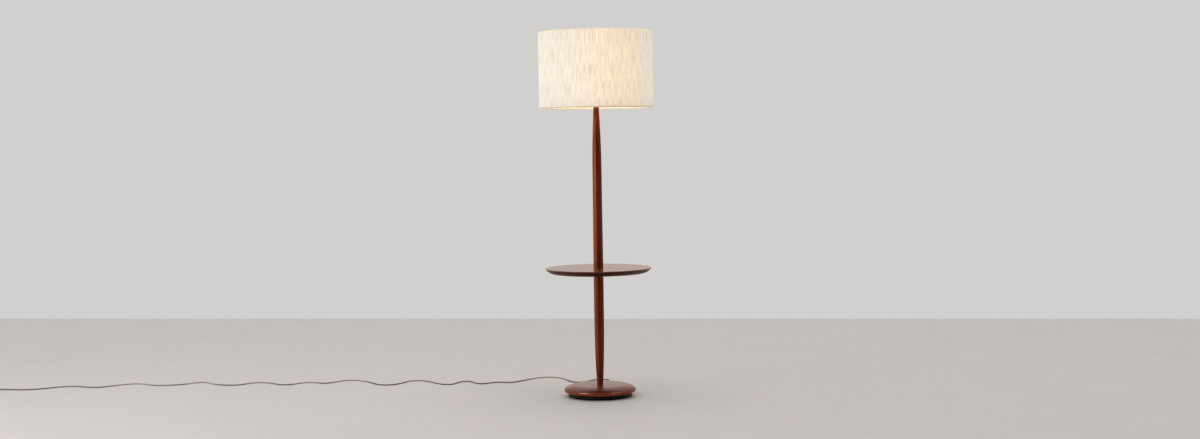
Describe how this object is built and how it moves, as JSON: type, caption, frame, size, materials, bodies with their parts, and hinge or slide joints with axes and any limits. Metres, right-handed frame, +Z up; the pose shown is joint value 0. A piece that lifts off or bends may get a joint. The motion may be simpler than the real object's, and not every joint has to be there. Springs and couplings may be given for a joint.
{
  "type": "floor lamp with table",
  "caption": "Floor lamp with a lit linen drum shade on a faceted wooden pole, a round wooden tray table part way up and a heavy round wooden foot.",
  "frame": {"origin": "centre of the foot, on the floor", "axes": "+Z up along the pole, -Y towards the front, +X to the right seen from the front"},
  "size_m": [3.0715, 0.7998, 1.5425],
  "materials": {
    "wood": "stained reddish brown, clear gloss lacquer",
    "black_iron": "black paint, satin",
    "felt": "dense black felt",
    "steel": "zinc plated, dull",
    "brass": "aged, satin",
    "linen": "off-white slubbed linen",
    "hem_tape": "off-white folded linen tape",
    "liner": "translucent white sheet",
    "white_wire": "white enamel",
    "bulb_glass": "frosted, lit",
    "aluminium": "drawn, bright",
    "phenolic": "dark brown moulded",
    "card": "plain insulating card",
    "black_plastic": "moulded, satin",
    "cord": "taupe brown jacket",
    "cord_plug": "taupe brown moulded",
    "wire_jacket": "pale insulation",
    "strap": "black hook and loop strap"
  },
  "bodies": {
    "stand": {"felt_pad": "felt", "base_weight": "black_iron", "weight_screws": "steel", "base_top": "wood", "base_washer": "steel", "base_lock_washer": "steel", "base_nut": "steel", "lower_rod": "steel", "upper_rod": "steel", "rod_coupling": "steel", "lower_pole": "wood", "table_top": "wood", "table_washer": "steel", "table_nut": "steel", "upper_pole": "wood", "pole_cap": "brass", "top_nut": "brass", "harp_saddle": "brass", "harp": "brass", "harp_sleeves": "brass", "harp_seat": "brass", "socket_cap": "brass", "socket_set_screw": "steel", "socket_shell": "brass", "socket_liner": "card", "socket_insulator": "phenolic", "terminal_screws": "brass", "screw_shell": "aluminium", "centre_contact": "brass", "inner_lead": "cord", "socket_wires": "wire_jacket", "strain_relief": "black_plastic", "power_cord": "cord", "cord_coil": "cord", "cord_ties": "strap", "plug_body": "cord_plug", "plug_blades": "brass"},
    "shade": {"shade_liner": "liner", "shade_linen": "linen", "shade_spider": "white_wire", "shade_bottom_ring": "white_wire", "shade_top_hem": "hem_tape", "shade_bottom_hem": "hem_tape"},
    "finial": {"finial": "brass"},
    "switch": {"switch_stem": "steel", "switch_knob": "black_plastic"},
    "bulb": {"bulb_cap": "aluminium", "bulb_contact": "brass", "bulb_glass": "bulb_glass"}
  },
  "joints": [
    {"name": "shade_swivel", "type": "hinge", "parent": "stand", "child": "shade", "pos_m": [0, 0, 1.5158], "axis": [0, 0, 1], "continuous": true},
    {"name": "finial_turn", "type": "hinge", "parent": "stand", "child": "finial", "pos_m": [0, 0, 1.524], "axis": [0, 0, 1], "continuous": true},
    {"name": "switch_turn", "type": "hinge", "parent": "stand", "child": "switch", "pos_m": [0, -0.02, 1.2846], "axis": [0, -1, 0], "continuous": true},
    {"name": "bulb_turn", "type": "hinge", "parent": "stand", "child": "bulb", "pos_m": [0, 0, 1.314], "axis": [0, 0, 1], "continuous": true}
  ]
}
